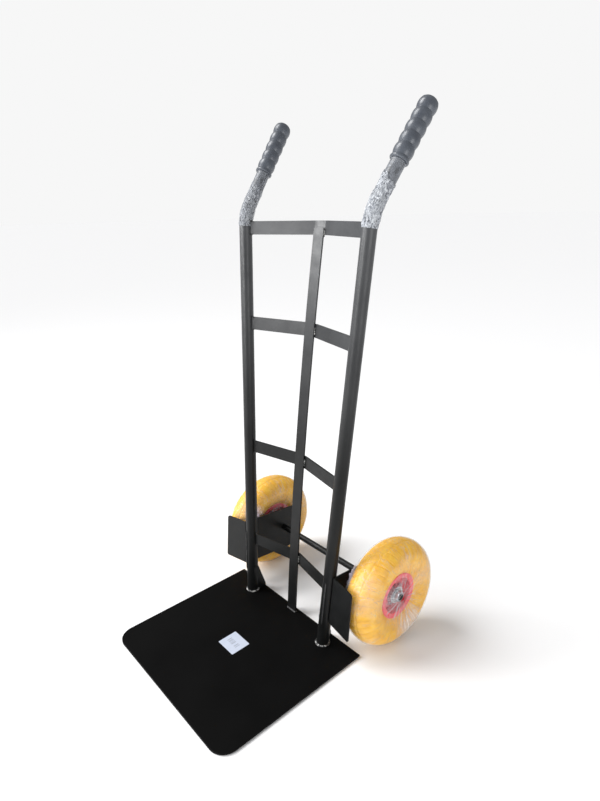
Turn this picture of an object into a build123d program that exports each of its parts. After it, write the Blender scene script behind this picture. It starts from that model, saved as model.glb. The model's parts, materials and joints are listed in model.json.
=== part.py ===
from build123d import *
import math
import os

# Hand truck, in millimetres. +X is the truck's right, +Y points to the rear, +Z is up.
# The origin is on the floor, on the centre line, below the feet of the two upright tubes.

# Toe plate
PLATE_WIDTH = 450
PLATE_FRONT = -353
PLATE_REAR = 35
PLATE_THICKNESS = 5
PLATE_CORNER_RADIUS = 38
PLATE_EDGE_CHAMFER = 0.6

# Upright tubes: they spread outwards and lean back from their feet on the toe plate
TUBE_DIAMETER = 30
TUBE_WALL = 2
FOOT_X = 137.3
SPREAD = 0.0588
LEAN = math.tan(math.radians(4.8))

# Handles: each tube bends back above the top crossbar and ends inside a rubber grip
BEND_HEIGHT = 975
BEND_RADIUS = 115
HANDLE_BACK_ANGLE = 35.5
HANDLE_OUT_ANGLE = 4.1
HANDLE_LENGTH = 242
GRIP_LENGTH = 132
GRIP_RADIUS = 17.2
GRIP_RIDGE = 2.6
GRIP_WAVES = 4
GRIP_COLLAR = 9
GRIP_KNOB = 26
GRIP_KNOB_RISE = 2.6
GRIP_COLLAR_RISE = 2.2
GRIP_END_BEVEL = 3
GRIP_END_WALL = 4

# Crossbars and centre bar: flat steel strip
STRIP_WIDTH = 30
STRIP_THICKNESS = 4
STRIP_BEND_RADIUS = 12
STRIP_CORNER_RADIUS = 2
CROSSBAR_FLAT = 34
CROSSBARS = {
    "lower_crossbar": 158,
    "middle_crossbar": 415,
    "upper_crossbar": 726,
    "top_crossbar": 945.5,
}
CENTER_BAR_FOOT_Y = 19.8
CENTER_BAR_MID_Y, CENTER_BAR_MID_Z = 59, 415
CENTER_BAR_TOP_Y, CENTER_BAR_TOP_Z = 132, 945.5

# Wheels
WHEEL_RADIUS = 130
TYRE_WIDTH = 84
TYRE_NECK_INSET, TYRE_NECK_RADIUS = 5.5, 72
TYRE_BULGE_RADIUS = 92
TYRE_SHOULDER_INSET, TYRE_SHOULDER_RADIUS = 9, 117
WHEEL_X = 224
AXLE_Y = 136
AXLE_RADIUS = 8
BEAD_RADIUS = 45.3
BEAD_WIDTH = 51.6
BEAD_CHAMFER = 3.5
HUB_RADIUS = 21
HUB_LENGTH = 46
HUB_STEP = 2.5
RIM_SHEET = 2
FLANGE_RADIUS = 56

# Ball bearings, one at each end of a hub
BEARING_RADIUS = 17.5
BEARING_WIDTH = 11
BEARING_RECESS = 0.5
SHIELD_SHEET = 1
BALL_RADIUS = 3
BALL_PITCH_RADIUS = 12.75
BALL_COUNT = 9
RACE_CORE_OFFSET, RACE_CORE_DEPTH = 3.2, 3.1
RUNNING_GAP = 0.3

# Rim bolts
RIM_BOLTS = 4
BOLT_CIRCLE_RADIUS = 31
BOLT_RADIUS = 4
BOLT_HEX = 13
BOLT_HEAD = 5.3
BOLT_NUT = 6.5
BOLT_TAIL = 4

# Axle hardware
WASHER_RADIUS = 15.5
WASHER_THICKNESS = 2.5
WASHER_CHAMFER = 0.4
NUT_HEX = 24
NUT_HEIGHT = 8
NUT_CORNER_RADIUS = NUT_HEX / 2 / math.cos(math.pi / 6)
NUT_BEVEL_DEPTH = 2.2
NUT_FACE_RADIUS = 11.4
SPACER_RADIUS = 12.5
SPACER_START_X = 164.2
AXLE_HALF_LENGTH = 260
AXLE_CHAMFER = 1.2

# Wheel brackets: a bent plate with a side panel that carries the axle and a wing in front of the wheel
BRACKET_THICKNESS = 3
BRACKET_BOTTOM, BRACKET_TOP = 77, 197
BRACKET_REAR = 178
BRACKET_FOLD_Y = -6
WING_EDGE_X = 232
WING_EDGE_Y = -18
WING_OVERRUN_X, WING_OVERRUN_Y = 15, -2
BRACKET_BEND_RADIUS = 4
BRACKET_REAR_LOWER_RADIUS = 42
BRACKET_REAR_UPPER_RADIUS = 15
WING_UPPER_RADIUS = 7
WING_LOWER_RADIUS = 5

# Foot gussets behind the tubes
GUSSET_THICKNESS = 5
GUSSET_X = 128
GUSSET_HEIGHT = 72
GUSSET_EDGE = 8

# Blank sticker on the toe plate
STICKER_X, STICKER_Y = -6, -157
STICKER_WIDTH, STICKER_LENGTH, STICKER_THICKNESS = 57, 50, 0.3
STICKER_CORNER_RADIUS = 2

# Small gap between pieces that are welded or pressed together
SEAM = 0.05

SIDES = {"left": -1, "right": 1}
AXLE_Z = WHEEL_RADIUS
TUBE_RADIUS = TUBE_DIAMETER / 2

os.makedirs("parts", exist_ok=True)


def save(piece, name):
    """Labels a finished piece and writes it as the node of that name."""
    piece.label = name
    export_step(piece, f"parts/{name}.step")


def tube_center(side, z):
    """Centre of an upright tube's straight run at height z."""
    rise = z - PLATE_THICKNESS
    return Vector(side * (FOOT_X + SPREAD * rise), LEAN * rise, z)


def handle_direction(side):
    """Unit vector along a handle, from the bend towards the grip's end."""
    back = math.radians(HANDLE_BACK_ANGLE)
    out = math.radians(HANDLE_OUT_ANGLE)
    return Vector(
        side * math.sin(out), math.sin(back) * math.cos(out), math.cos(back) * math.cos(out)
    )


def handle_plane(side, distance):
    """Plane square to a handle, that far along it from the corner of the bend."""
    direction = handle_direction(side)
    across = Vector(1, 0, 0).cross(direction)
    return Plane(
        origin=tube_center(side, BEND_HEIGHT) + direction * distance,
        x_dir=across.cross(direction),
        z_dir=direction,
    )


def wheel_plane(side, offset=0):
    """Plane square to the axle, that far outboard of a wheel's centre, facing outboard."""
    return Plane(
        origin=(side * (WHEEL_X + offset), AXLE_Y, AXLE_Z), x_dir=(0, 1, 0), z_dir=(side, 0, 0)
    )


def wheel_section_plane(side):
    """Plane through the axle: local x points outboard, local y is the distance from the axle."""
    return Plane(
        origin=(side * WHEEL_X, AXLE_Y, AXLE_Z), x_dir=(side, 0, 0), z_dir=(0, -side, 0)
    )


def axle_axis(side):
    return Axis((side * WHEEL_X, AXLE_Y, AXLE_Z), (side, 0, 0))


def upright_rod(side, radius, start_z):
    """Solid rod along an upright's whole run, from start_z up round the bend and along the handle."""
    tube_end = HANDLE_LENGTH - GRIP_END_WALL - SEAM
    foot = tube_center(side, start_z)
    corner = tube_center(side, BEND_HEIGHT)
    with BuildPart() as rod:
        with BuildLine() as run:
            FilletPolyline(
                foot, corner, corner + handle_direction(side) * tube_end, radius=BEND_RADIUS
            )
        with BuildSketch(Plane(origin=foot, z_dir=corner - foot)):
            Circle(radius)
        sweep(path=run.wires()[0])
    return rod.part


# ---------------------------------------------------------------- toe plate and sticker
with BuildPart() as toe_plate:
    with BuildSketch():
        with Locations((0, (PLATE_FRONT + PLATE_REAR) / 2)):
            Rectangle(PLATE_WIDTH, PLATE_REAR - PLATE_FRONT)
    extrude(amount=PLATE_THICKNESS)
    fillet(toe_plate.edges().filter_by(Axis.Z).group_by(Axis.Y)[0], PLATE_CORNER_RADIUS)
    chamfer(toe_plate.faces().sort_by(Axis.Z)[-1].edges(), PLATE_EDGE_CHAMFER)
save(toe_plate.part, "toe_plate")

with BuildPart() as sticker:
    with BuildSketch(Plane.XY.offset(PLATE_THICKNESS + SEAM)):
        with Locations((STICKER_X, STICKER_Y)):
            RectangleRounded(STICKER_WIDTH, STICKER_LENGTH, STICKER_CORNER_RADIUS)
    extrude(amount=STICKER_THICKNESS)
save(sticker.part, "sticker")

# ---------------------------------------------------------------- upright tubes
rods = {}
for name, side in SIDES.items():
    rods[name] = upright_rod(side, TUBE_RADIUS, 0)
    bore = upright_rod(side, TUBE_RADIUS - TUBE_WALL, -PLATE_THICKNESS)
    with BuildPart() as upright:
        add(rods[name])
        add(bore, mode=Mode.SUBTRACT)
        with BuildSketch(handle_plane(side, HANDLE_LENGTH - 2 * GRIP_END_WALL)):
            Circle(TUBE_RADIUS - TUBE_WALL)
        extrude(amount=2 * GRIP_END_WALL, mode=Mode.SUBTRACT)
        split(bisect_by=Plane.XY.offset(PLATE_THICKNESS), keep=Keep.TOP)
    save(upright.part, f"{name}_upright_tube")

# ---------------------------------------------------------------- centre bar and crossbars


def strip_side(setback):
    """Side outline of the centre bar's front face, moved back by setback."""
    return ThreePointArc(
        (CENTER_BAR_FOOT_Y + setback, PLATE_THICKNESS),
        (CENTER_BAR_MID_Y + setback, CENTER_BAR_MID_Z),
        (CENTER_BAR_TOP_Y + setback, CENTER_BAR_TOP_Z),
    )


with BuildPart() as center_bar:
    with BuildSketch(Plane.YZ):
        with BuildLine():
            front = strip_side(0)
            back = strip_side(STRIP_THICKNESS)
            Line(front @ 0, back @ 0)
            Line(front @ 1, back @ 1)
        make_face()
    extrude(amount=STRIP_WIDTH / 2, both=True)
    fillet(center_bar.faces().sort_by(Axis.Z)[-1].edges().filter_by(Axis.Y), STRIP_CORNER_RADIUS)
save(center_bar.part, "center_bar")

with BuildLine(Plane.YZ):
    seat_arc = strip_side(STRIP_THICKNESS + SEAM)

for name, height in CROSSBARS.items():
    # The bar's flat middle lies on the back of the centre bar and shares its slope there.
    along = (height - PLATE_THICKNESS) / (CENTER_BAR_TOP_Z - PLATE_THICKNESS)
    contact = seat_arc @ min(along, 1)
    slope = seat_arc % min(along, 1)
    end = tube_center(1, height)
    half_flat = CROSSBAR_FLAT / 2
    middle_y = contact.Y + STRIP_THICKNESS / 2
    with BuildPart() as crossbar:
        with BuildSketch(Plane.XY.offset(height)):
            with BuildLine():
                FilletPolyline(
                    (-end.X, end.Y),
                    (-half_flat, middle_y),
                    (half_flat, middle_y),
                    (end.X, end.Y),
                    radius=STRIP_BEND_RADIUS,
                )
            trace(line_width=STRIP_THICKNESS)
        extrude(amount=STRIP_WIDTH / 2, dir=slope)
        extrude(crossbar.faces().sort_by(Axis.Z)[0], amount=STRIP_WIDTH / 2, dir=-slope)
        for rod in rods.values():
            add(rod, mode=Mode.SUBTRACT)
    save(crossbar.part, name)

# ---------------------------------------------------------------- wheel brackets, gussets
brackets = {}
for name, side in SIDES.items():
    direction = (tube_center(1, BEND_HEIGHT) - tube_center(1, 0)).normalized()
    direction = Vector(side * direction.X, direction.Y, direction.Z)
    middle = tube_center(side, (BRACKET_BOTTOM + BRACKET_TOP) / 2)
    half_height = (BRACKET_TOP - BRACKET_BOTTOM) / 2
    panel_x = TUBE_RADIUS + SEAM + BRACKET_THICKNESS / 2
    section = Plane(origin=middle, x_dir=Vector(0, 1, 0).cross(direction) * side, z_dir=direction)
    wing_end = WING_EDGE_X - middle.X * side + WING_OVERRUN_X
    with BuildPart() as bracket:
        with BuildSketch(section):
            with BuildLine():
                FilletPolyline(
                    (panel_x, BRACKET_REAR * side),
                    (panel_x, BRACKET_FOLD_Y * side),
                    (wing_end, (WING_EDGE_Y + WING_OVERRUN_Y) * side),
                    radius=BRACKET_BEND_RADIUS,
                )
            trace(line_width=BRACKET_THICKNESS)
        extrude(amount=half_height, both=True)
        split(bisect_by=Plane(origin=(side * WING_EDGE_X, 0, 0), z_dir=(-side, 0, 0)), keep=Keep.TOP)
        with BuildSketch(wheel_plane(side, -WHEEL_X)):
            Circle(AXLE_RADIUS + SEAM)
        extrude(amount=WHEEL_X, mode=Mode.SUBTRACT)
        across = bracket.edges().filter_by(lambda edge: edge.length < 1.1 * BRACKET_THICKNESS)
        rear_lower, rear_upper = across.sort_by(Axis.Y)[-2:].sort_by(Axis.Z)
        wing_lower, wing_upper = across.sort_by(Axis.Y)[:2].sort_by(Axis.Z)
        fillet(rear_lower, BRACKET_REAR_LOWER_RADIUS)
        fillet(rear_upper, BRACKET_REAR_UPPER_RADIUS)
        fillet(wing_upper, WING_UPPER_RADIUS)
        fillet(wing_lower, WING_LOWER_RADIUS)
    brackets[name] = bracket.part
    save(bracket.part, f"{name}_wheel_bracket")

    # A small triangular plate stiffens the foot of each tube from behind.
    with BuildPart() as gusset:
        with BuildSketch(Plane.YZ.offset(side * GUSSET_X)):
            with BuildLine():
                Polyline(
                    (0, PLATE_THICKNESS + SEAM),
                    (PLATE_REAR, PLATE_THICKNESS + SEAM),
                    (PLATE_REAR, PLATE_THICKNESS + GUSSET_EDGE),
                    (LEAN * GUSSET_HEIGHT + GUSSET_EDGE, PLATE_THICKNESS + GUSSET_HEIGHT),
                    (0, PLATE_THICKNESS + GUSSET_HEIGHT),
                    close=True,
                )
            make_face()
        extrude(amount=GUSSET_THICKNESS / 2, both=True)
        add(rods[name], mode=Mode.SUBTRACT)
        loose = gusset.solids().sort_by(Axis.Y)[:-1]
        if loose:
            add(loose, mode=Mode.SUBTRACT)
    save(gusset.part, f"{name}_foot_gusset")

# ---------------------------------------------------------------- axle and its hardware
with BuildPart() as axle_rod:
    with BuildSketch(Plane.YZ):
        with Locations((AXLE_Y, AXLE_Z)):
            Circle(AXLE_RADIUS)
    extrude(amount=AXLE_HALF_LENGTH, both=True)
    chamfer(axle_rod.edges(), AXLE_CHAMFER)
save(axle_rod.part, "axle_rod")

hub_face = HUB_LENGTH / 2
for name, side in SIDES.items():
    outer_washer_at = hub_face + RUNNING_GAP
    inner_washer_at = -hub_face - RUNNING_GAP - WASHER_THICKNESS
    for place, start in (("outer", outer_washer_at), ("inner", inner_washer_at)):
        with BuildPart() as washer:
            with BuildSketch(wheel_plane(side, start)):
                Circle(WASHER_RADIUS)
                Circle(AXLE_RADIUS + SEAM, mode=Mode.SUBTRACT)
            extrude(amount=WASHER_THICKNESS)
            chamfer(washer.edges().sort_by(SortBy.LENGTH)[-2:], WASHER_CHAMFER)
        save(washer.part, f"{name}_{place}_axle_washer")

    nut_start = outer_washer_at + WASHER_THICKNESS + SEAM
    nut_end = nut_start + NUT_HEIGHT
    with BuildPart() as axle_nut:
        with BuildSketch(wheel_plane(side, nut_start)):
            RegularPolygon(NUT_HEX / 2, 6, major_radius=False)
            Circle(AXLE_RADIUS + SEAM, mode=Mode.SUBTRACT)
        extrude(amount=NUT_HEIGHT)
        with BuildSketch(wheel_section_plane(side)):
            with BuildLine():
                Polyline(
                    (nut_end - NUT_BEVEL_DEPTH, NUT_CORNER_RADIUS),
                    (nut_end - NUT_BEVEL_DEPTH, NUT_HEX),
                    (nut_end + 1, NUT_HEX),
                    (nut_end + 1, NUT_FACE_RADIUS),
                    (nut_end, NUT_FACE_RADIUS),
                    close=True,
                )
            make_face()
        revolve(axis=axle_axis(side), mode=Mode.SUBTRACT)
    save(axle_nut.part, f"{name}_axle_nut")

    spacer_length = WHEEL_X + inner_washer_at - SEAM - SPACER_START_X
    with BuildPart() as spacer:
        with BuildSketch(wheel_plane(side, SPACER_START_X - WHEEL_X)):
            Circle(SPACER_RADIUS)
            Circle(AXLE_RADIUS + SEAM, mode=Mode.SUBTRACT)
        extrude(amount=spacer_length)
        add(brackets[name], mode=Mode.SUBTRACT)
    save(spacer.part, f"{name}_axle_spacer")

# ---------------------------------------------------------------- wheels
bead_half = BEAD_WIDTH / 2
tyre_half = TYRE_WIDTH / 2
for name, side in SIDES.items():
    section = wheel_section_plane(side)
    axis = axle_axis(side)

    # Solid foam tyre: a full, round crown over bulging sidewalls that narrow to the rim.
    with BuildPart() as tyre:
        with BuildSketch(section):
            with BuildLine():
                bead = Polyline(
                    (0, BEAD_RADIUS),
                    (bead_half - BEAD_CHAMFER, BEAD_RADIUS),
                    (bead_half, BEAD_RADIUS + BEAD_CHAMFER),
                    (bead_half, FLANGE_RADIUS + SEAM),
                )
                sidewall = ThreePointArc(
                    bead @ 1,
                    (tyre_half - TYRE_NECK_INSET, TYRE_NECK_RADIUS),
                    (tyre_half, TYRE_BULGE_RADIUS),
                )
                Spline(
                    sidewall @ 1,
                    (tyre_half - TYRE_SHOULDER_INSET, TYRE_SHOULDER_RADIUS),
                    (0, WHEEL_RADIUS),
                    tangents=[sidewall % 1, (-1, 0)],
                )
                mirror(about=Plane.YZ)
            make_face()
        revolve(axis=axis)
    save(tyre.part, f"{name}_tyre")

    # Two pressed steel dishes, back to back, clamp the tyre between their flanges.
    for place, way in (("outer", 1), ("inner", -1)):
        with BuildPart() as rim:
            with BuildSketch(section):
                with BuildLine():
                    FilletPolyline(
                        (way * (SEAM + RIM_SHEET / 2), HUB_RADIUS + SEAM),
                        (way * (SEAM + RIM_SHEET / 2), BEAD_RADIUS - SEAM - RIM_SHEET / 2),
                        (way * (bead_half + SEAM + RIM_SHEET / 2), BEAD_RADIUS - SEAM - RIM_SHEET / 2),
                        (way * (bead_half + SEAM + RIM_SHEET / 2), FLANGE_RADIUS),
                        radius=RIM_SHEET,
                    )
                trace(line_width=RIM_SHEET)
            revolve(axis=axis)
            with BuildSketch(wheel_plane(side, -BEAD_WIDTH)):
                with PolarLocations(BOLT_CIRCLE_RADIUS, RIM_BOLTS):
                    Circle(BOLT_RADIUS + SEAM)
            extrude(amount=2 * BEAD_WIDTH, mode=Mode.SUBTRACT)
        save(rim.part, f"{name}_{place}_rim")

    with BuildPart() as hub:
        with BuildSketch(wheel_plane(side, -hub_face)):
            Circle(HUB_RADIUS)
            Circle(BEARING_RADIUS - HUB_STEP, mode=Mode.SUBTRACT)
        extrude(amount=HUB_LENGTH)
        pocket = BEARING_WIDTH + BEARING_RECESS
        for start in (-hub_face, hub_face - pocket):
            with BuildSketch(wheel_plane(side, start)):
                Circle(BEARING_RADIUS + SEAM)
            extrude(amount=pocket, mode=Mode.SUBTRACT)
    save(hub.part, f"{name}_hub")

    with BuildPart() as rim_bolts:
        with BuildSketch(wheel_plane(side, 2 * SEAM + RIM_SHEET)):
            with PolarLocations(BOLT_CIRCLE_RADIUS, RIM_BOLTS):
                RegularPolygon(BOLT_HEX / 2, 6, major_radius=False)
        extrude(amount=BOLT_HEAD)
        with BuildSketch(wheel_plane(side, 2 * SEAM + RIM_SHEET)):
            with PolarLocations(BOLT_CIRCLE_RADIUS, RIM_BOLTS):
                Circle(BOLT_RADIUS)
        extrude(amount=-(2 * RIM_SHEET + BOLT_NUT + BOLT_TAIL))
    save(rim_bolts.part, f"{name}_rim_bolts")

    with BuildPart() as rim_nuts:
        with BuildSketch(wheel_plane(side, -2 * SEAM - RIM_SHEET)):
            with PolarLocations(BOLT_CIRCLE_RADIUS, RIM_BOLTS):
                RegularPolygon(BOLT_HEX / 2, 6, major_radius=False)
                Circle(BOLT_RADIUS + SEAM, mode=Mode.SUBTRACT)
        extrude(amount=-BOLT_NUT)
    save(rim_nuts.part, f"{name}_rim_nuts")

    for place, way in (("outer", 1), ("inner", -1)):
        middle = way * (hub_face - BEARING_WIDTH / 2)
        groove = BALL_RADIUS + RUNNING_GAP
        shield_radius = BALL_PITCH_RADIUS - SHIELD_SHEET
        with BuildPart() as outer_race:
            with BuildSketch(section):
                with Locations((middle, (BEARING_RADIUS + shield_radius) / 2)):
                    Rectangle(BEARING_WIDTH, BEARING_RADIUS - shield_radius)
                    Rectangle(
                        BEARING_WIDTH - 2 * SHIELD_SHEET,
                        BEARING_RADIUS - shield_radius,
                        mode=Mode.SUBTRACT,
                    )
                with Locations((middle, BALL_PITCH_RADIUS + RACE_CORE_OFFSET)):
                    Rectangle(BEARING_WIDTH, RACE_CORE_DEPTH)
                with Locations((middle, BALL_PITCH_RADIUS)):
                    Circle(groove, mode=Mode.SUBTRACT)
            revolve(axis=axis)
        save(outer_race.part, f"{name}_{place}_bearing_outer_race")

        with BuildPart() as inner_race:
            with BuildSketch(section):
                with Locations((middle, (AXLE_RADIUS + SEAM + shield_radius - RUNNING_GAP) / 2)):
                    Rectangle(BEARING_WIDTH, shield_radius - RUNNING_GAP - AXLE_RADIUS - SEAM)
                with Locations((middle, BALL_PITCH_RADIUS)):
                    Circle(groove, mode=Mode.SUBTRACT)
            revolve(axis=axis)
        save(inner_race.part, f"{name}_{place}_bearing_inner_race")

        with BuildPart() as balls:
            with Locations(wheel_plane(side, middle)):
                with PolarLocations(BALL_PITCH_RADIUS, BALL_COUNT):
                    Sphere(BALL_RADIUS)
        save(balls.part, f"{name}_{place}_bearing_balls")

# ---------------------------------------------------------------- rubber grips
for name, side in SIDES.items():
    start = HANDLE_LENGTH - GRIP_LENGTH
    wave = (GRIP_LENGTH - GRIP_COLLAR - GRIP_KNOB) / GRIP_WAVES
    section = handle_plane(side, start)
    profile_plane = Plane(origin=section.origin, x_dir=section.x_dir, z_dir=-section.y_dir)
    with BuildPart() as grip:
        with BuildSketch(profile_plane):
            with BuildLine():
                Polyline(
                    (0, 0),
                    (GRIP_RADIUS, 0),
                    (GRIP_RADIUS + GRIP_COLLAR_RISE, GRIP_COLLAR_RISE),
                    (GRIP_RADIUS + GRIP_COLLAR_RISE, GRIP_COLLAR / 2),
                    (GRIP_RADIUS, GRIP_COLLAR),
                )
                for index in range(GRIP_WAVES):
                    low = GRIP_COLLAR + index * wave
                    ridge = ThreePointArc(
                        (GRIP_RADIUS, low),
                        (GRIP_RADIUS + GRIP_RIDGE, low + wave / 2),
                        (GRIP_RADIUS, low + wave),
                    )
                knob = ThreePointArc(
                    ridge @ 1,
                    (GRIP_RADIUS + GRIP_KNOB_RISE, GRIP_LENGTH - GRIP_KNOB / 2),
                    (GRIP_RADIUS, GRIP_LENGTH - GRIP_END_BEVEL),
                )
                Polyline(
                    knob @ 1, (GRIP_RADIUS - GRIP_END_BEVEL, GRIP_LENGTH), (0, GRIP_LENGTH), (0, 0)
                )
            make_face()
        revolve(axis=Axis(section.origin, section.z_dir))
        with BuildSketch(handle_plane(side, start - 1)):
            Circle(TUBE_RADIUS + SEAM)
        extrude(amount=GRIP_LENGTH + 1 - GRIP_END_WALL, mode=Mode.SUBTRACT)
    save(grip.part, f"{name}_grip")
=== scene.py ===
import json
import math

import bpy
import numpy as np
from mathutils import Matrix, Vector, noise


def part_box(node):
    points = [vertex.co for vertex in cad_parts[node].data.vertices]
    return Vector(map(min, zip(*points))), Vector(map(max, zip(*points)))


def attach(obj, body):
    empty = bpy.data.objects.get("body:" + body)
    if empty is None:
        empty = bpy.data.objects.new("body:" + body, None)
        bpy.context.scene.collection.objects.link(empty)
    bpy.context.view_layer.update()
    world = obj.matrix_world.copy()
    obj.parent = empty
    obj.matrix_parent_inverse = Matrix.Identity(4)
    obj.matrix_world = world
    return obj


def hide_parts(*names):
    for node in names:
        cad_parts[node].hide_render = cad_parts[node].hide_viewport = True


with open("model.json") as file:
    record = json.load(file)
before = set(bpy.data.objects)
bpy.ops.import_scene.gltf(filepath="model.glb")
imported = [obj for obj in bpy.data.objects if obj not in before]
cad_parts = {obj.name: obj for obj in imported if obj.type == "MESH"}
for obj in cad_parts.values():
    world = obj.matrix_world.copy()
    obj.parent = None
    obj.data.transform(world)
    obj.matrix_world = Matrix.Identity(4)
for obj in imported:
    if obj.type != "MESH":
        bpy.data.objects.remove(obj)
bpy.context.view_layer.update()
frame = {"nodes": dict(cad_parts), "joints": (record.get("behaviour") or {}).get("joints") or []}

nodes = frame["nodes"]
joints = {joint["child"]: Vector(joint["pos_m"]) for joint in frame["joints"]}
SIDES = {"left": -1, "right": 1}
MM = 0.001

# ---------------------------------------------------------------- sizes, in millimetres
TUBE_RADIUS = 15
PLATE_TOP = 5
FOOT_X = 137.3  # middle of an upright at the toe plate
SPREAD, LEAN = 0.0588, math.tan(math.radians(4.8))  # run outwards and backwards for each unit of rise
BEND_HEIGHT, BEND_RADIUS = 975, 115
HANDLE_BACK, HANDLE_OUT = math.radians(35.5), math.radians(4.1)
HANDLE_LENGTH, GRIP_LENGTH = 242, 132
STRIP_WIDTH, STRIP_THICKNESS = 30, 4
CENTER_BAR_TOP_Z = 945.5
CENTER_BAR_FRONT = ((PLATE_TOP, 19.8), (415, 59), (CENTER_BAR_TOP_Z, 132))  # (height, y)

TYRE_HALF_WIDTH, TYRE_RADIUS, TYRE_BULGE_RADIUS = 42, 130, 92
TYRE_WALL_BOW = (39.1, 70)  # (x, radius) that the curve of the side wall leans towards
BEAD_RADIUS, BEAD_HALF_WIDTH, BEAD_CHAMFER, FLANGE_RADIUS = 45.3, 25.8, 3.5, 56
GROOVE_WALL = 0.9  # width of a groove's sloping wall
TREAD_FROM_RADIUS = 100
RING_X, RING_HALF_WIDTH, RING_DEPTH = 11.5, 1.1, 1.3  # the two grooves that run right round
LUGS, LUG_LEAN, LUG_FROM_RADIUS, LUG_FADE = 40, 0.42, 106, 5
LUG_GROOVE_HALF_WIDTH, LUG_GROOVE_DEPTH = 1.3, 1.3
SIPE_REACH, SIPE_LEAN, SIPE_HALF_WIDTH, SIPE_DEPTH = 9, 0.8, 0.6, 0.9

FILM_HUB_X, FILM_HUB_RADIUS, FILM_MOUTH_RADIUS = 37.5, 16, 9  # film on the outboard face
FILM_SIDE_X = TYRE_HALF_WIDTH + 1.6  # film over the widest part of the tyre
FILM_FACE_RADIUS, FILM_CROWN_RISE = 88, 39.4
FILM_INNER_RADIUS, FILM_INNER_DISH = 26, 6.5  # film on the inboard face
FILM_PUFF_RADIUS, FILM_PUFF_WIDTH = 100, 28  # where it stands loose on that face
FILM_MOST_LIFT = 11.5
FILM_KNOT_REACH = 0.45  # half the arc that the knot takes up, in radians
FILM_GATHER = (0.040, 0.024, -0.086)  # slack film on a wheel, in metres from its centre
FILM_KNOT = (-0.050, -0.088, 0.064)  # where its slack bunches on the inboard side

SLEEVE_START, SLEEVE_END = -26, 76  # film on a handle, along it from the corner of the bend
SLEEVE_SLANT, SLEEVE_TEAR = 11, 7  # how far its upper edge slopes and wanders
CUFF_START, CUFF_END = 40, 109.5
ROUTE_STEPS = 400
WRAP_SCALE = 0.028  # noise lengths in each millimetre along a handle
FOOT_BEAD, BAR_FOOT_BEAD, CROSSING_BEAD, BAR_END_BEAD, BRACKET_BEAD = 2.6, 2.4, 1.8, 1.9, 1.7
BEAD_RIPPLE = 3.1  # distance from one ripple of a weld to the next

FLOOR_RADIUS, FLOOR_HEIGHT = 60, -0.002  # metres
STUDIO_GLOW, BACKDROP = 0.42, 0.93  # the world's strength on the truck, and as the camera sees it

# ---------------------------------------------------------------- camera
CAMERA_PLACE = Vector((0.9164, -0.7378, 0.9886))
CAMERA_YAW, CAMERA_PITCH, CAMERA_ROLL = (math.radians(a) for a in (-48.72, -19.10, -1.34))
CAMERA_LENS = 25.09


def make_camera():
    """Camera at the photograph's viewing angle, at standing eye height and close to the truck."""
    level = math.cos(CAMERA_PITCH)
    ahead = Vector(
        (math.sin(CAMERA_YAW) * level, math.cos(CAMERA_YAW) * level, math.sin(CAMERA_PITCH))
    )
    right = Vector((math.cos(CAMERA_YAW), -math.sin(CAMERA_YAW), 0))
    up = right.cross(ahead)
    rolled_right = right * math.cos(CAMERA_ROLL) + up * math.sin(CAMERA_ROLL)
    rolled_up = up * math.cos(CAMERA_ROLL) - right * math.sin(CAMERA_ROLL)
    turn = Matrix((rolled_right, rolled_up, -ahead)).transposed()
    data = bpy.data.cameras.new("camera")
    data.lens = CAMERA_LENS
    data.sensor_width = 36
    camera = bpy.data.objects.new("camera", data)
    camera.matrix_world = Matrix.Translation(CAMERA_PLACE) @ turn.to_4x4()
    bpy.context.scene.collection.objects.link(camera)
    bpy.context.scene.camera = camera


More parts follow.
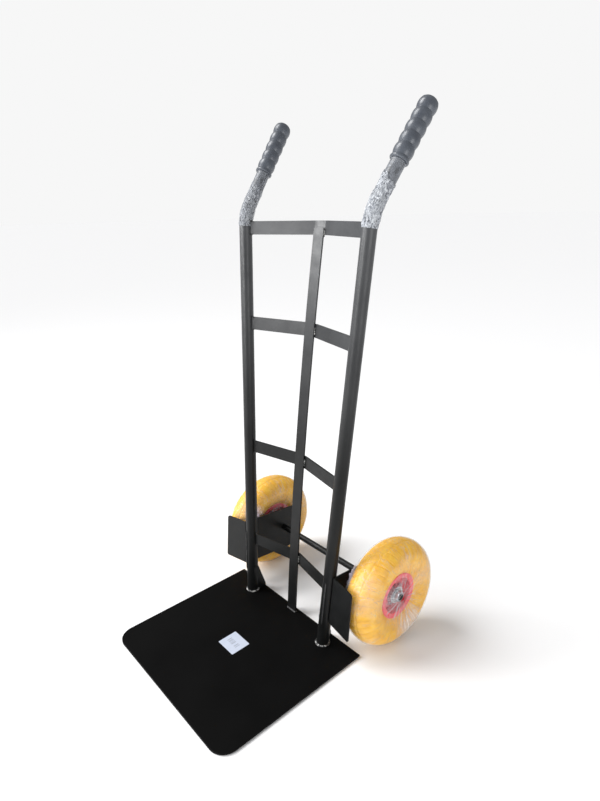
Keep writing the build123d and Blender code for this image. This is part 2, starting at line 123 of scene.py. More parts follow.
# ---------------------------------------------------------------- node helpers
class Shader:
    """A Principled material with short calls for its procedural nodes."""

    def __init__(self, name, **values):
        self.material = bpy.data.materials.new(name)
        self.material.use_nodes = True
        self.tree = self.material.node_tree
        self.bsdf = self.tree.nodes["Principled BSDF"]
        coordinates = self.tree.nodes.new("ShaderNodeTexCoord")
        self.place = coordinates.outputs["Object"]
        for socket, value in values.items():
            self.set(socket, value)

    def set(self, socket, value):
        name = socket.replace("_", " ")
        found = [s for s in self.bsdf.inputs if s.name.lower() == name.lower()]
        found[0].default_value = value

    def link(self, output, socket):
        self.tree.links.new(output, self.bsdf.inputs[socket])

    def noise(self, scale, detail=4, roughness=0.55, distortion=0, at=None):
        node = self.tree.nodes.new("ShaderNodeTexNoise")
        node.inputs["Scale"].default_value = scale
        node.inputs["Detail"].default_value = detail
        node.inputs["Roughness"].default_value = roughness
        node.inputs["Distortion"].default_value = distortion
        self.tree.links.new(at or self.place, node.inputs["Vector"])
        return node.outputs["Fac"]

    def stretched(self, scale):
        node = self.tree.nodes.new("ShaderNodeMapping")
        node.inputs["Scale"].default_value = scale
        self.tree.links.new(self.place, node.inputs["Vector"])
        return node.outputs["Vector"]

    def vector(self, operation, a, b=None):
        node = self.tree.nodes.new("ShaderNodeVectorMath")
        node.operation = operation
        self.tree.links.new(a, node.inputs[0])
        if operation == "SCALE":
            node.inputs["Scale"].default_value = b
        elif isinstance(b, bpy.types.NodeSocket):
            self.tree.links.new(b, node.inputs[1])
        elif b is not None:
            node.inputs[1].default_value = b
        return node.outputs["Value" if operation in ("LENGTH", "DISTANCE") else "Vector"]

    def axle_distance(self):
        return self.vector("LENGTH", self.vector("MULTIPLY", self.place, (0, 1, 1)))

    def round_axle(self, turns, outwards, across):
        """Coordinates for streaks: fast round the axle, slower outwards and across the wheel."""
        spoke = self.vector("NORMALIZE", self.vector("MULTIPLY", self.place, (0, 1, 1)))
        combine = self.tree.nodes.new("ShaderNodeCombineXYZ")
        reach = self.math("MULTIPLY", self.axle_distance(), outwards)
        side = self.math("MULTIPLY", self.axis("X"), across)
        self.tree.links.new(self.math("ADD", reach, side), combine.inputs["X"])
        return self.vector("ADD", self.vector("SCALE", spoke, turns), combine.outputs["Vector"])

    def attribute(self, name):
        node = self.tree.nodes.new("ShaderNodeAttribute")
        node.attribute_name = name
        return node.outputs["Vector"]

    def total(self, *terms):
        value = terms[0]
        for term in terms[1:]:
            value = self.math("ADD", value, term)
        return value

    def facing(self, low, high, most):
        node = self.tree.nodes.new("ShaderNodeLayerWeight")
        node.inputs["Blend"].default_value = 0.35
        return self.remap(node.outputs["Facing"], low, high, 0, most)

    def crease(self, value, width, most):
        """White line wherever a value crosses its middle."""
        off = self.math("ABSOLUTE", self.math("SUBTRACT", value, 0.5), 0)
        return self.remap(off, 0, width, most, 0)

    def remap(self, value, low, high, to_low=0.0, to_high=1.0):
        node = self.tree.nodes.new("ShaderNodeMapRange")
        for socket, number in zip(
            ("From Min", "From Max", "To Min", "To Max"), (low, high, to_low, to_high)
        ):
            node.inputs[socket].default_value = number
        self.tree.links.new(value, node.inputs["Value"])
        return node.outputs["Result"]

    def ramp(self, value, stops):
        node = self.tree.nodes.new("ShaderNodeValToRGB")
        ramp = node.color_ramp
        while len(ramp.elements) < len(stops):
            ramp.elements.new(0.5)
        for element, (place, color) in zip(ramp.elements, stops):
            element.position = place
            element.color = (*color, 1)
        self.tree.links.new(value, node.inputs["Fac"])
        return node.outputs["Color"]

    def mix(self, factor, a, b):
        node = self.tree.nodes.new("ShaderNodeMix")
        node.data_type = "RGBA"
        for socket, value in (("A", a), ("B", b)):
            target = [s for s in node.inputs if s.name == socket and s.type == "RGBA"][0]
            self._feed(value, target)
        self._feed(factor, node.inputs["Factor"])
        return [s for s in node.outputs if s.type == "RGBA"][0]

    def math(self, operation, a, b):
        node = self.tree.nodes.new("ShaderNodeMath")
        node.operation = operation
        self._feed(a, node.inputs[0])
        self._feed(b, node.inputs[1])
        return node.outputs[0]

    def axis(self, name):
        node = self.tree.nodes.new("ShaderNodeSeparateXYZ")
        self.tree.links.new(self.place, node.inputs[0])
        return node.outputs[name]

    def _feed(self, value, socket):
        if isinstance(value, bpy.types.NodeSocket):
            self.tree.links.new(value, socket)
        elif isinstance(value, tuple):
            socket.default_value = (*value, 1)
        else:
            socket.default_value = value

    def bump(self, height, strength, distance, below=None):
        node = self.tree.nodes.new("ShaderNodeBump")
        node.inputs["Strength"].default_value = strength
        node.inputs["Distance"].default_value = distance
        self.tree.links.new(height, node.inputs["Height"])
        if below is not None:
            self.tree.links.new(below, node.inputs["Normal"])
        self.link(node.outputs["Normal"], "Normal")
        return node.outputs["Normal"]


# ---------------------------------------------------------------- materials
def frame_paint():
    """Black powder coat: satin, orange-peeled, rubbed in spots, and painted lighter towards the
    handles as painted light on the upper frame.
    """
    s = Shader("frame_paint")
    height = s.remap(s.axis("Z"), 0.45, 1.02)
    broad = s.remap(s.noise(9, 5), 0.3, 0.7)
    # Painted light and shade: the colour runs from near black low down to a lighter grey towards the
    # handles, by height alone.
    painted_shade_low = s.mix(broad, (0.0035, 0.0038, 0.0038), (0.0070, 0.0074, 0.0074))
    painted_light_high = s.mix(broad, (0.046, 0.048, 0.052), (0.076, 0.079, 0.084))
    base = s.mix(height, painted_shade_low, painted_light_high)
    rubbed = s.remap(s.noise(160, 6, 0.7), 0.62, 0.78, 0, 0.35)
    s.link(s.mix(rubbed, base, (0.085, 0.085, 0.082)), "Base Color")
    s.link(s.remap(height, 0, 1, 0.24, 0.55), "Specular IOR Level")
    s.link(s.remap(s.noise(35, 4), 0.3, 0.7, 0.30, 0.46), "Roughness")
    s.bump(s.noise(620, 2), 0.22, 0.0006)
    return s.material


def plate_paint():
    """Dull black paint on the toe plate, barely reflecting, with faint scuffs."""
    s = Shader("plate_paint", specular_ior_level=0.06)
    broad = s.noise(7, 5)
    scuff = s.noise(60, 6, 0.7, 0.6, s.stretched((1, 0.25, 1)))
    base = s.mix(s.remap(broad, 0.3, 0.7), (0.0012, 0.0012, 0.0012), (0.0024, 0.0024, 0.0024))
    s.link(s.mix(s.remap(scuff, 0.66, 0.8, 0, 0.6), base, (0.008, 0.008, 0.008)), "Base Color")
    s.link(s.remap(broad, 0.3, 0.7, 0.46, 0.62), "Roughness")
    s.bump(s.noise(480, 3), 0.25, 0.0006)
    return s.material


def tyre_foam():
    """Amber foam compound, a little mottled and slightly waxy."""
    s = Shader("tyre_foam", specular_ior_level=0.4, subsurface_weight=0.08)
    s.set("Subsurface Radius", (0.004, 0.002, 0.0008))
    mottle = s.noise(55, 6, 0.65)
    base = s.ramp(
        mottle, [(0.25, (0.72, 0.35, 0.014)), (0.5, (0.86, 0.46, 0.024)), (0.75, (0.93, 0.57, 0.06))]
    )
    s.link(base, "Base Color")
    s.link(s.remap(s.noise(40, 3), 0.3, 0.7, 0.38, 0.55), "Roughness")
    s.bump(s.noise(700, 3, 0.6), 0.3, 0.0004)
    return s.material


def rim_paint():
    """Glossy red stove enamel."""
    s = Shader("rim_paint", coat_weight=0.6, coat_roughness=0.08)
    s.link(
        s.mix(s.remap(s.noise(30, 4), 0.3, 0.7), (0.74, 0.020, 0.045), (0.88, 0.045, 0.080)),
        "Base Color",
    )
    s.link(s.remap(s.noise(60, 3), 0.3, 0.7, 0.25, 0.38), "Roughness")
    s.bump(s.noise(420, 2), 0.12, 0.0005)
    return s.material


def zinc():
    """Zinc-plated steel: bluish, cloudy and lightly brushed."""
    s = Shader("zinc", metallic=1.0)
    cloud = s.noise(90, 5, 0.6)
    s.link(s.mix(cloud, (0.42, 0.47, 0.54), (0.62, 0.66, 0.70)), "Base Color")
    s.link(s.remap(s.noise(140, 4), 0.3, 0.7, 0.24, 0.42), "Roughness")
    s.bump(s.noise(300, 3, 0.6, 0, s.stretched((0.1, 1, 1))), 0.2, 0.0004)
    return s.material


def bearing_steel():
    """Ground bearing steel, bright, with a thin film of oil."""
    s = Shader("bearing_steel", metallic=1.0, coat_weight=0.3)
    s.link(s.mix(s.noise(60, 3), (0.45, 0.46, 0.48), (0.58, 0.59, 0.61)), "Base Color")
    s.link(s.remap(s.noise(200, 3), 0.3, 0.7, 0.14, 0.26), "Roughness")
    s.bump(s.noise(500, 2, 0.5, 0, s.stretched((0.1, 1, 1))), 0.1, 0.0003)
    return s.material


def grip_rubber():
    """Dark blue-grey moulded rubber with a fine sparked texture."""
    s = Shader("grip_rubber", coat_weight=0.5, coat_roughness=0.22)
    s.link(
        s.mix(s.remap(s.noise(45, 4), 0.3, 0.7), (0.052, 0.060, 0.077), (0.080, 0.092, 0.112)),
        "Base Color",
    )
    s.link(s.remap(s.noise(90, 3), 0.3, 0.7, 0.34, 0.5), "Roughness")
    s.bump(s.noise(900, 3, 0.6), 0.25, 0.0005)
    return s.material


def sticker_paper():
    """White label stock printed with a few plain grey bars that say nothing."""
    s = Shader("sticker_paper", roughness=0.45)
    x, y = s.axis("X"), s.axis("Y")
    low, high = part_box("sticker")
    across = s.remap(x, low.x, high.x)
    along = s.remap(y, low.y, high.y)
    block = s.math(
        "MULTIPLY",
        s.math("MULTIPLY", s.math("GREATER_THAN", across, 0.16), s.math("LESS_THAN", across, 0.80)),
        s.math("MULTIPLY", s.math("GREATER_THAN", along, 0.36), s.math("LESS_THAN", along, 0.62)),
    )
    stripes = s.math("GREATER_THAN", s.noise(420, 0, 0, 0, s.stretched((1, 0.0, 0.0))), 0.52)
    mark = s.math("MULTIPLY", block, stripes)
    paper = s.mix(s.noise(80, 4), (0.46, 0.51, 0.62), (0.56, 0.60, 0.70))
    s.link(s.mix(s.math("MULTIPLY", mark, 0.55), paper, (0.10, 0.11, 0.14)), "Base Color")
    s.bump(s.noise(60, 3), 0.3, 0.0012)
    return s.material


def weld_metal(name, brightness, shine):
    """Weld bead under thin paint, its crests painted to a brightness as painted highlights standing
    for glints.
    """
    s = Shader(name, metallic=0.35)
    crest = s.noise(230, 3)
    painted_glint = (brightness, brightness, brightness * 0.97)
    # Painted highlights: the crests of the bead are coloured up to the given brightness.
    s.link(s.mix(s.remap(crest, 0.46, 0.64), (0.03, 0.03, 0.032), painted_glint), "Base Color")
    s.link(s.remap(crest, 0.4, 0.7, 0.42, shine), "Roughness")
    s.bump(s.noise(500, 3), 0.5, 0.0008)
    return s.material


def wheel_film(name, side):
    """Stretched clear packing film: nearly clear, with milky patches, white radial pleats and a
    lilac bunch where the slack is tied on the inboard side."""
    s = Shader(f"{name}_wheel_film", roughness=0.17, specular_ior_level=0.65)
    pleats = s.noise(1, 4, 0.6, 0.5, s.round_axle(15, 24, 26))
    fine = s.noise(1, 3, 0.6, 0.4, s.round_axle(30, 16, 20))
    folds = s.noise(1, 5, 0.62, 1.1, s.round_axle(6, 45, 50))
    milky = s.noise(12, 3, 0.5)
    near_hub = s.remap(s.axle_distance(), 0.036, 0.075, 1, 0)
    gather = s.vector("DISTANCE", s.place, (side * FILM_GATHER[0], *FILM_GATHER[1:]))
    knot = s.vector("DISTANCE", s.place, (side * FILM_KNOT[0], *FILM_KNOT[1:]))
    bunch = s.remap(knot, 0.012, 0.034, 1, 0)
    alpha = s.total(
        s.remap(milky, 0.46, 0.72, 0.03, 0.22),
        s.remap(pleats, 0.57, 0.70, 0, 0.12),
        s.math("MULTIPLY", s.remap(fine, 0.50, 0.62), s.remap(near_hub, 0, 1, 0.03, 0.42)),
        s.crease(folds, 0.018, 0.24),
        s.math("MULTIPLY", s.remap(gather, 0.015, 0.055, 1, 0), s.remap(fine, 0.36, 0.6, 0.18, 0.55)),
        s.facing(0.55, 1.0, 0.65),
        s.remap(bunch, 0, 1, 0, 0.6),
    )
    s.link(s.math("MINIMUM", alpha, 0.92), "Alpha")
    # Painted shade: the film's colour turns dark grey where it is seen edge-on, giving the wheel a
    # dark outline.
    film_painted_dark_edge = s.mix(s.facing(0.6, 1.0, 0.8), (0.90, 0.91, 0.94), (0.20, 0.20, 0.19))
    s.link(s.mix(bunch, film_painted_dark_edge, (0.80, 0.74, 0.90)), "Base Color")
    s.bump(pleats, 0.35, 0.002)
    return s.material


def handle_film(name, cover):
    """Clear film wound round the tube in many layers, with dark gaps in streaks; its silvery look is
    painted, light streaks as painted reflections and dark ones as painted shade.
    cover is how much of the tube its layers hide, up to 1."""
    s = Shader(f"{name}_handle_film", roughness=0.2, specular_ior_level=0.6)
    wrap = s.attribute("wrap")
    streaks = s.noise(2.6, 5, 0.7, 0.9, wrap)
    folds = s.noise(4.2, 5, 0.65, 1.4, wrap)
    # Painted reflections and painted shade: the fold pattern colours the film from dark grey to
    # silvery white.
    s.link(
        s.ramp(
            folds,
            [(0.36, (0.10, 0.11, 0.13)), (0.47, (0.32, 0.34, 0.38)), (0.58, (0.68, 0.71, 0.75))],
        ),
        "Base Color",
    )
    layers = s.remap(streaks, 0.34, 0.54, 0.35 * cover, 0.97 * cover)
    s.link(s.total(layers, s.crease(folds, 0.03, 0.5)), "Alpha")
    s.bump(folds, 0.7, 0.003)
    return s.material


def cuff_film():
    """One tight layer of clear film: a thin blue-grey haze."""
    s = Shader("cuff_film", roughness=0.25)
    wrap = s.attribute("wrap")
    haze = s.noise(2.2, 4, 0.6, 0.8, wrap)
    s.link(s.mix(haze, (0.40, 0.44, 0.52), (0.75, 0.79, 0.86)), "Base Color")
    s.link(s.total(s.remap(haze, 0.4, 0.62, 0.10, 0.26), s.crease(haze, 0.02, 0.3)), "Alpha")
    s.bump(haze, 0.4, 0.002)
    return s.material


# ---------------------------------------------------------------- mesh helpers
def new_object(name, points, faces, material):
    mesh = bpy.data.meshes.new(name)
    mesh.from_pydata([tuple(p) for p in points], [], faces)
    mesh.validate()
    mesh.polygons.foreach_set("use_smooth", [True] * len(mesh.polygons))
    mesh.materials.append(material)
    piece = bpy.data.objects.new(name, mesh)
    bpy.context.scene.collection.objects.link(piece)
    return piece


def grid_faces(rows, columns, rows_closed, columns_closed):
    """Quads over a grid of points stored row by row."""
    faces = []
    for i in range(rows if rows_closed else rows - 1):
        for j in range(columns if columns_closed else columns - 1):
            a, b = i * columns, ((i + 1) % rows) * columns
            k = (j + 1) % columns
            faces.append((a + j, a + k, b + k, b + j))
    return faces


def ring_about_axle(profile, turns, shape=None):
    """Points of a section turned about the axle, in millimetres about the wheel's centre.
    profile holds (x outboard, radius); shape(angle, x, radius) may move each point."""
    points = []
    for i in range(turns):
        angle = 2 * math.pi * i / turns
        for x, radius in profile:
            if shape:
                x_new, radius_new = shape(angle, x, radius)
            else:
                x_new, radius_new = x, radius
            points.append(
                (x_new * MM, radius_new * math.cos(angle) * MM, radius_new * math.sin(angle) * MM)
            )
    return points


# ---------------------------------------------------------------- wheels
def tyre_profile():
    """Outline of the tyre's section, (x, radius), from one bead over the crown to the other."""
    crown = [
        (
            TYRE_HALF_WIDTH * math.cos(t),
            TYRE_BULGE_RADIUS + (TYRE_RADIUS - TYRE_BULGE_RADIUS) * math.sin(t),
        )
        for t in np.linspace(0, math.pi / 2, 46)
    ]
    wall = []
    bow_x, bow_r = TYRE_WALL_BOW
    for t in np.linspace(0, 1, 12, endpoint=False):
        x = (1 - t) ** 2 * BEAD_HALF_WIDTH + 2 * t * (1 - t) * bow_x + t * t * TYRE_HALF_WIDTH
        r = (1 - t) ** 2 * FLANGE_RADIUS + 2 * t * (1 - t) * bow_r + t * t * TYRE_BULGE_RADIUS
        wall.append((x, r))
    bead = [
        (BEAD_HALF_WIDTH - BEAD_CHAMFER, BEAD_RADIUS),
        (BEAD_HALF_WIDTH, BEAD_RADIUS + BEAD_CHAMFER),
    ]
    right = bead + wall + crown
    left = [(-x, r) for x, r in reversed(right[:-1])]
    return right + left


def groove(distance, half_width, depth):
    """Depth of a groove with sloping walls at a distance from its middle."""
    return depth * min(1.0, max(0.0, (half_width + GROOVE_WALL - abs(distance)) / GROOVE_WALL))


def tread(angle, x, radius):
    """Cuts the tread into the crown: two rings of groove, slanted shoulder lugs and centre sipes."""
    if radius < TREAD_FROM_RADIUS:
        return x, radius
    pitch = 2 * math.pi * TYRE_RADIUS / LUGS
    depth = groove(abs(x) - RING_X, RING_HALF_WIDTH, RING_DEPTH)
    shift = LUG_LEAN * (abs(x) - RING_X) * (1 if x > 0 else -1)
    around = (angle * TYRE_RADIUS + shift) % pitch - pitch / 2
    if abs(x) > RING_X and radius > LUG_FROM_RADIUS:
        lug_depth = LUG_GROOVE_DEPTH * min(1, (radius - LUG_FROM_RADIUS) / LUG_FADE)
        depth = max(depth, groove(around, LUG_GROOVE_HALF_WIDTH, lug_depth))
    elif abs(x) < SIPE_REACH:
        sipe = (angle * TYRE_RADIUS + SIPE_LEAN * x) % pitch - pitch / 2
        depth = max(depth, groove(sipe, SIPE_HALF_WIDTH, SIPE_DEPTH))
    scale = depth / TYRE_RADIUS
    return x * (1 - scale * 0.6), radius - depth


def make_tyre(name, material):
    profile = tyre_profile()
    turns = 760
    points = ring_about_axle(profile, turns, tread)
    faces = grid_faces(turns, len(profile), True, True)
    tyre = new_object(f"{name}_tyre_tread", points, faces, material)
    tyre.location = joints[f"{name}_wheel"]
    return tyre


def film_profile(side):
    """Section of the packing film round a wheel, (x outboard, radius), from hub to hub."""
    outer_span = FILM_FACE_RADIUS - FILM_HUB_RADIUS
    inner_span = FILM_FACE_RADIUS - FILM_INNER_RADIUS
    outer = [(FILM_HUB_X, r) for r in np.linspace(FILM_MOUTH_RADIUS, FILM_HUB_RADIUS, 5)]
    outer += [
        (FILM_HUB_X + 6.8 * ((r - FILM_HUB_RADIUS) / outer_span) ** 0.8, r)
        for r in np.linspace(FILM_HUB_RADIUS + 2, FILM_FACE_RADIUS, 26)
    ]
    over = [
        (FILM_SIDE_X * math.cos(t), TYRE_BULGE_RADIUS + FILM_CROWN_RISE * math.sin(t))
        for t in np.linspace(0, math.pi, 56)
    ]
    inner = [
        (-FILM_SIDE_X + FILM_INNER_DISH * ((FILM_FACE_RADIUS - r) / inner_span) ** 0.8, r)
        for r in np.linspace(FILM_FACE_RADIUS, FILM_INNER_RADIUS, 22)
    ]
    inner += [
        (-FILM_SIDE_X + FILM_INNER_DISH - 0.25 * k, FILM_INNER_RADIUS - 2.1 * k)
        for k in range(1, 6)
    ]
    return [(side * x, r) for x, r in outer + over + inner]


def make_wheel_film(name, side, material):
    """Stretched film over the whole wheel: radial pleats gather it towards the hub on both faces."""
    profile = film_profile(side)
    turns = 300
    seed = Vector((3.1 * side, 0.7, 5.3))
    knot_angle = math.atan2(FILM_KNOT[2], FILM_KNOT[1])

    def crumple(angle, x, radius):
        near_hub = max(0.0, 1 - radius / TYRE_BULGE_RADIUS)
        on_face = min(1.0, max(0.0, (abs(x) - 30) / 10))
        around = Vector((math.cos(angle), math.sin(angle), 0))
        pleat = noise.noise(around * 7.5 + seed) + 0.6 * noise.noise(around * 17 + seed)
        small = noise.noise(around * radius * 0.16 + Vector((0, 0, x * 0.11)) + seed)
        fine = noise.noise(around * radius * 0.42 + Vector((0, 0, x * 0.3)) - seed)
        lift = on_face * (1.1 + 1.6 * near_hub) * pleat + 0.8 * on_face * small
        if x * side < 0:
            puff = max(0.0, 1 - abs(radius - FILM_PUFF_RADIUS) / FILM_PUFF_WIDTH)
            turned = abs((angle - knot_angle + math.pi) % (2 * math.pi) - math.pi)
            knot = max(0.0, 1 - turned / FILM_KNOT_REACH)
            lift += on_face * puff * (2.0 + 6.5 * knot + (2.4 + 4 * knot) * small + 1.2 * pleat)
            lift = min(lift, FILM_MOST_LIFT)
        out = 0.5 + 0.3 * small + 0.1 * fine
        return x + math.copysign(lift, x), radius + (1 - on_face) * max(0.1, out)

    points = ring_about_axle(profile, turns, crumple)
    faces = grid_faces(turns, len(profile), True, False)
    film = new_object(f"{name}_wheel_film", points, faces, material)
    film.location = joints[f"{name}_wheel"]
    return film


# ---------------------------------------------------------------- uprights and handles
def tube_center(side, z):
    rise = z - PLATE_TOP
    return Vector((side * (FOOT_X + SPREAD * rise), LEAN * rise, z))


def handle_direction(side):
    return Vector(
        (
            side * math.sin(HANDLE_OUT),
            math.sin(HANDLE_BACK) * math.cos(HANDLE_OUT),
            math.cos(HANDLE_BACK) * math.cos(HANDLE_OUT),
        )
    )


def handle_route(side, start, end, steps):
    """Centre line of a tube round its bend: points and directions, between two distances from the
    bend's corner, measured down the upright where negative and up the handle where positive."""
    corner = tube_center(side, BEND_HEIGHT)
    below = (corner - tube_center(side, PLATE_TOP)).normalized()
    above = handle_direction(side)
    turn = below.angle(above)
    reach = BEND_RADIUS * math.tan(turn / 2)
    inward = (above - below).normalized()
    center = corner + inward * (BEND_RADIUS / math.cos(turn / 2))
    route = []
    for s in np.linspace(start, end, steps):
        if s <= -reach:
            route.append((corner + below * s, below))
        elif s >= reach:
            route.append((corner + above * s, above))
        else:
            part = (s + reach) / (2 * reach) * turn
            spoke = (corner - below * reach) - center
            axis = below.cross(above).normalized()
            turned = Matrix.Rotation(part, 3, axis)
            route.append((center + turned @ spoke, turned @ below))
    return route


def sleeve(name, side, start, end_at, steps, around, radius_at, material):
    """Skin round a handle from start to end_at(angle), which lets its upper edge slope.
    radius_at(along, angle) gives its radius; distances run from the bend's corner."""
    route = handle_route(side, start, HANDLE_LENGTH - GRIP_LENGTH, ROUTE_STEPS)
    span = HANDLE_LENGTH - GRIP_LENGTH - start
    points, wraps = [], []
    for i in range(steps + 1):
        for j in range(around):
            angle = 2 * math.pi * j / around
            along = start + (end_at(angle) - start) * i / steps
            place = int((along - start) / span * (ROUTE_STEPS - 1))
            center, direction = route[min(ROUTE_STEPS - 1, place)]
            across = Vector((1, 0, 0))
            across = (across - direction * across.dot(direction)).normalized()
            up = direction.cross(across)
            spoke = across * math.cos(angle) + up * math.sin(angle)
            points.append((center + spoke * radius_at(along, angle)) * MM)
            wraps.append((math.cos(angle), math.sin(angle), along * WRAP_SCALE))
    faces = grid_faces(steps + 1, around, False, True)
    piece = new_object(name, points, faces, material)
    wrap = piece.data.attributes.new("wrap", "FLOAT_VECTOR", "POINT")
    wrap.data.foreach_set("vector", np.array(wraps, np.float32).ravel())
    return piece


def make_handle_film(name, side, material):
    """Crumpled film wound round the bend of a handle, its upper edge torn and sloping."""
    seed = Vector((side * 4.7, 1.9, 2.2))

    def end_at(angle):
        ragged = noise.noise(Vector((math.cos(angle), math.sin(angle), 0)) * 2.5 + seed)
        return SLEEVE_END - SLEEVE_SLANT * math.cos(angle) + SLEEVE_TEAR * ragged

    def radius_at(along, angle):
        ring = Vector((math.cos(angle), math.sin(angle), 0))
        big = noise.noise(ring * 1.7 + Vector((0, 0, along * WRAP_SCALE)) + seed)
        small = noise.noise(ring * 4.2 + Vector((0, 0, along * 0.10)) - seed)
        fine = noise.noise(ring * 7.5 + Vector((0, 0, along * 0.3)) + seed * 2)
        loose = min(1.0, (along - SLEEVE_START + 1) / 8)
        fold = max(0.0, 1 - abs(big) * 4)
        return TUBE_RADIUS + 0.6 + loose * max(0.0, 0.5 + 0.9 * fold + 0.9 * small + 0.5 * fine)

    return sleeve(f"{name}_handle_film", side, SLEEVE_START, end_at, 150, 90, radius_at, material)


def make_cuff_film(name, side, material):
    """Tight film between the crumpled sleeve and the grip."""
    seed = Vector((side * 2.1, 7.7, 1.1))

    def radius_at(along, angle):
        ring = Vector((math.cos(angle), math.sin(angle), 0))
        return TUBE_RADIUS + 0.35 + 0.2 * noise.noise(ring * 3 + Vector((0, 0, along * 0.1)) + seed)

    def end_at(angle):
        return CUFF_END

    return sleeve(f"{name}_cuff_film", side, CUFF_START, end_at, 60, 64, radius_at, material)


# ---------------------------------------------------------------- welds
def weld_bead(name, path, radius, closed, material):
    """Weld bead along a path in millimetres, laid in overlapping ripples."""
    points = [Vector(p) for p in path]
    lengths = [0.0]
    for a, b in zip(points, points[1:]):
        lengths.append(lengths[-1] + (b - a).length)
    total = lengths[-1]
    steps = max(12, int(total / 0.8))
    around = 12
    rows = []
    for i in range(steps + (0 if closed else 1)):
        s = total * i / steps
        k = min(max(1, int(np.searchsorted(lengths, s, side="right"))), len(points) - 1)
        part = (s - lengths[k - 1]) / max(1e-9, lengths[k] - lengths[k - 1])
        center = points[k - 1].lerp(points[k], part)
        direction = (points[k] - points[k - 1]).normalized()
        wave = abs(math.sin(math.pi * s / BEAD_RIPPLE))
        ripple = 0.86 + 0.22 * wave + 0.16 * noise.noise(center * 0.23)
        if not closed:
            ripple *= math.sqrt(max(0.04, 1 - (2 * s / total - 1) ** 10))
        across = direction.orthogonal().normalized()
        up = direction.cross(across)
        rows.append(
            [
                (center + (across * math.cos(a) + up * math.sin(a)) * radius * ripple) * MM
                for a in np.linspace(0, 2 * math.pi, around, endpoint=False)
            ]
        )
    flat = [p for row in rows for p in row]
    faces = grid_faces(len(rows), around, closed, True)
    if not closed:
        faces.append(tuple(range(around))[::-1])
        faces.append(tuple(range(len(flat) - around, len(flat))))
    return new_object(name, flat, faces, material)


def tube_seam(side, height, turns=60):
    """Round ring where an upright meets a level face; the lean would stretch the true seam a little.
    """
    center = tube_center(side, height)
    return [
        center + Vector((math.cos(a), math.sin(a), 0)) * (TUBE_RADIUS + 0.5)
        for a in np.linspace(0, 2 * math.pi, turns + 1)
    ]


def center_bar_back(z):
    """Rear face of the curved centre bar at height z."""
    heights, fronts = zip(*CENTER_BAR_FRONT)
    return float(np.polyval(np.polyfit(heights, fronts, 2), z)) + STRIP_THICKNESS


def make_welds(painted_glint, painted):
    """Beads where the uprights and bars are joined: with painted highlights on their crests round
    the feet and at the centre bar's crossings, painted over elsewhere."""
    welds = []
    for name, side in SIDES.items():
        seam = tube_seam(side, PLATE_TOP + 1.2)
        welds.append(weld_bead(f"{name}_foot_weld", seam, FOOT_BEAD, True, painted_glint))
    low, high = (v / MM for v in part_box("center_bar"))
    front = low.y
    seam = [
        (low.x, front + 6, PLATE_TOP + 1),
        (low.x, front, PLATE_TOP + 1),
        (high.x, front, PLATE_TOP + 1),
        (high.x, front + 6, PLATE_TOP + 1),
    ]
    welds.append(weld_bead("center_bar_foot_weld", seam, BAR_FOOT_BEAD, False, painted))
    for bar in ("lower_crossbar", "middle_crossbar", "upper_crossbar", "top_crossbar"):
        low, high = (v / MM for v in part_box(bar))
        middle = min((low.z + high.z) / 2, CENTER_BAR_TOP_Z - 10)
        for name, side in SIDES.items():
            seam = [
                (side * (STRIP_WIDTH / 2 + 0.6), center_bar_back(z) - 0.6, z)
                for z in (middle - 9, middle, middle + 9)
            ]
            welds.append(weld_bead(f"{name}_{bar}_center_weld", seam, CROSSING_BEAD, False, painted_glint))
        for name, side in SIDES.items():
            for edge, height in (("low", low.z), ("high", high.z)):
                center = tube_center(side, height)
                start = center + Vector((-side * (TUBE_RADIUS + 7), STRIP_THICKNESS / 2, 0))
                end = center + Vector((-side * (TUBE_RADIUS - 1), 3, 0))
                title = f"{name}_{bar}_{edge}_weld"
                welds.append(weld_bead(title, [start, end], BAR_END_BEAD, False, painted))
    for name, side in SIDES.items():
        low, high = (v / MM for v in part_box(f"{name}_wheel_bracket"))
        for label, turn in (("front", -1), ("rear", 1)):
            path = []
            for z in np.linspace(low.z + 4, high.z - 16, 12):
                center = tube_center(side, z)
                path.append(center + Vector((side * 4, turn * (TUBE_RADIUS + 0.6), 0)))
            title = f"{name}_bracket_{label}_weld"
            welds.append(weld_bead(title, path, BRACKET_BEAD, False, painted))
    return welds


# ---------------------------------------------------------------- assembly
MATERIALS = {
    "plate_black": plate_paint(),
    "frame_black": frame_paint(),
    "axle_black": frame_paint(),
    "sticker_paper": sticker_paper(),
    "grip_rubber": grip_rubber(),
    "tyre_foam": tyre_foam(),
    "rim_red": rim_paint(),
    "zinc_hardware": zinc(),
    "bearing_steel": bearing_steel(),
    "hub_steel": zinc(),
}


def paint_nodes():
    """Gives every CAD node the material of its record slot."""
    for node in nodes.values():
        slot = node.data.materials[0].name
        node.data.materials.clear()
        node.data.materials.append(MATERIALS[slot])


paint_nodes()

FILM_COVER = {"left": 0.55, "right": 1.0}
tight_film = cuff_film()
# Welds with light grey crests: painted highlights round the feet and at the crossings.
painted_highlight_weld = weld_metal("painted_highlight_weld", 0.55, 0.25)
painted_weld = weld_metal("painted_weld", 0.07, 0.36)

for name, side in SIDES.items():
    body = f"{name}_wheel"
    tyre = make_tyre(name, MATERIALS["tyre_foam"])
    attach(tyre, body)
    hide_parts(f"{name}_tyre")
    film = make_wheel_film(name, side, wheel_film(name, side))
    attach(film, body)
    wound_film = handle_film(name, FILM_COVER[name])
    for cover in (make_handle_film(name, side, wound_film), make_cuff_film(name, side, tight_film)):
        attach(cover, "frame")

for weld in make_welds(painted_highlight_weld, painted_weld):
    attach(weld, "frame")


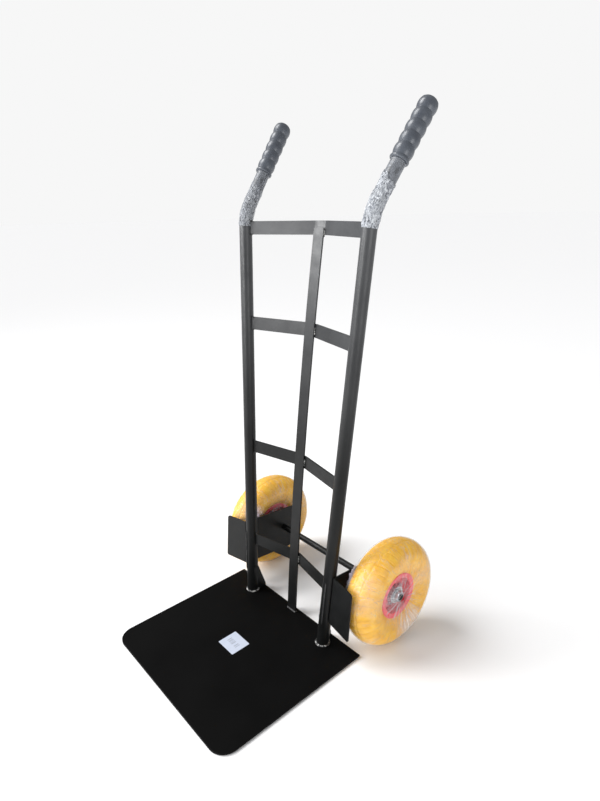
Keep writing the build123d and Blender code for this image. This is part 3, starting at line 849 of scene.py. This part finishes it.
# ---------------------------------------------------------------- floor and light
def make_floor():
    """One flat disc, wide enough that its edge is lost on the horizon."""
    rim = [
        (FLOOR_RADIUS * math.cos(a), FLOOR_RADIUS * math.sin(a), FLOOR_HEIGHT)
        for a in np.linspace(0, 2 * math.pi, 96, endpoint=False)
    ]
    paint = bpy.data.materials.new("floor_paint")
    paint.use_nodes = True
    bsdf = paint.node_tree.nodes["Principled BSDF"]
    bsdf.inputs["Base Color"].default_value = (0.93, 0.93, 0.935, 1)
    bsdf.inputs["Roughness"].default_value = 0.8
    bsdf.inputs["Specular IOR Level"].default_value = 0.1
    new_object("floor", rim, [tuple(range(96))], paint)


def area_light(name, place, aim, size, power):
    data = bpy.data.lights.new(name, "AREA")
    data.shape = "DISK"
    data.size = size
    data.energy = power
    light = bpy.data.objects.new(name, data)
    light.location = place
    light.rotation_euler = (Vector(aim) - Vector(place)).to_track_quat("-Z", "Y").to_euler()
    bpy.context.scene.collection.objects.link(light)


def sun_light(name, aim, strength, spread):
    data = bpy.data.lights.new(name, "SUN")
    data.energy = strength
    data.angle = math.radians(spread)
    light = bpy.data.objects.new(name, data)
    light.rotation_euler = Vector(aim).to_track_quat("-Z", "Y").to_euler()
    bpy.context.scene.collection.objects.link(light)


def make_world():
    """Even soft light, with a backdrop as pale as the far floor, so that no horizon shows."""
    world = bpy.data.worlds.new("studio")
    world.use_nodes = True
    tree = world.node_tree
    path = tree.nodes.new("ShaderNodeLightPath")
    strength = tree.nodes.new("ShaderNodeMapRange")
    strength.inputs["To Min"].default_value = STUDIO_GLOW
    strength.inputs["To Max"].default_value = BACKDROP
    tree.links.new(path.outputs["Is Camera Ray"], strength.inputs["Value"])
    tree.nodes["Background"].inputs["Color"].default_value = (1, 1, 1, 1)
    tree.links.new(strength.outputs["Result"], tree.nodes["Background"].inputs["Strength"])
    bpy.context.scene.world = world


make_floor()
make_camera()
make_world()
sun_light("key_sun", (0.62, 0.42, -0.95), 2.4, 35)
area_light("key", (-2.3, -2.2, 1.7), (0, 0, 0.5), 1.3, 52)
area_light("front", (-0.6, -3.3, 1.15), (0, 0, 0.9), 1.2, 42)
area_light("side_fill", (3.0, -0.5, 1.0), (0, 0.1, 0.2), 1.8, 22)
bpy.context.scene.view_settings.view_transform = "Standard"
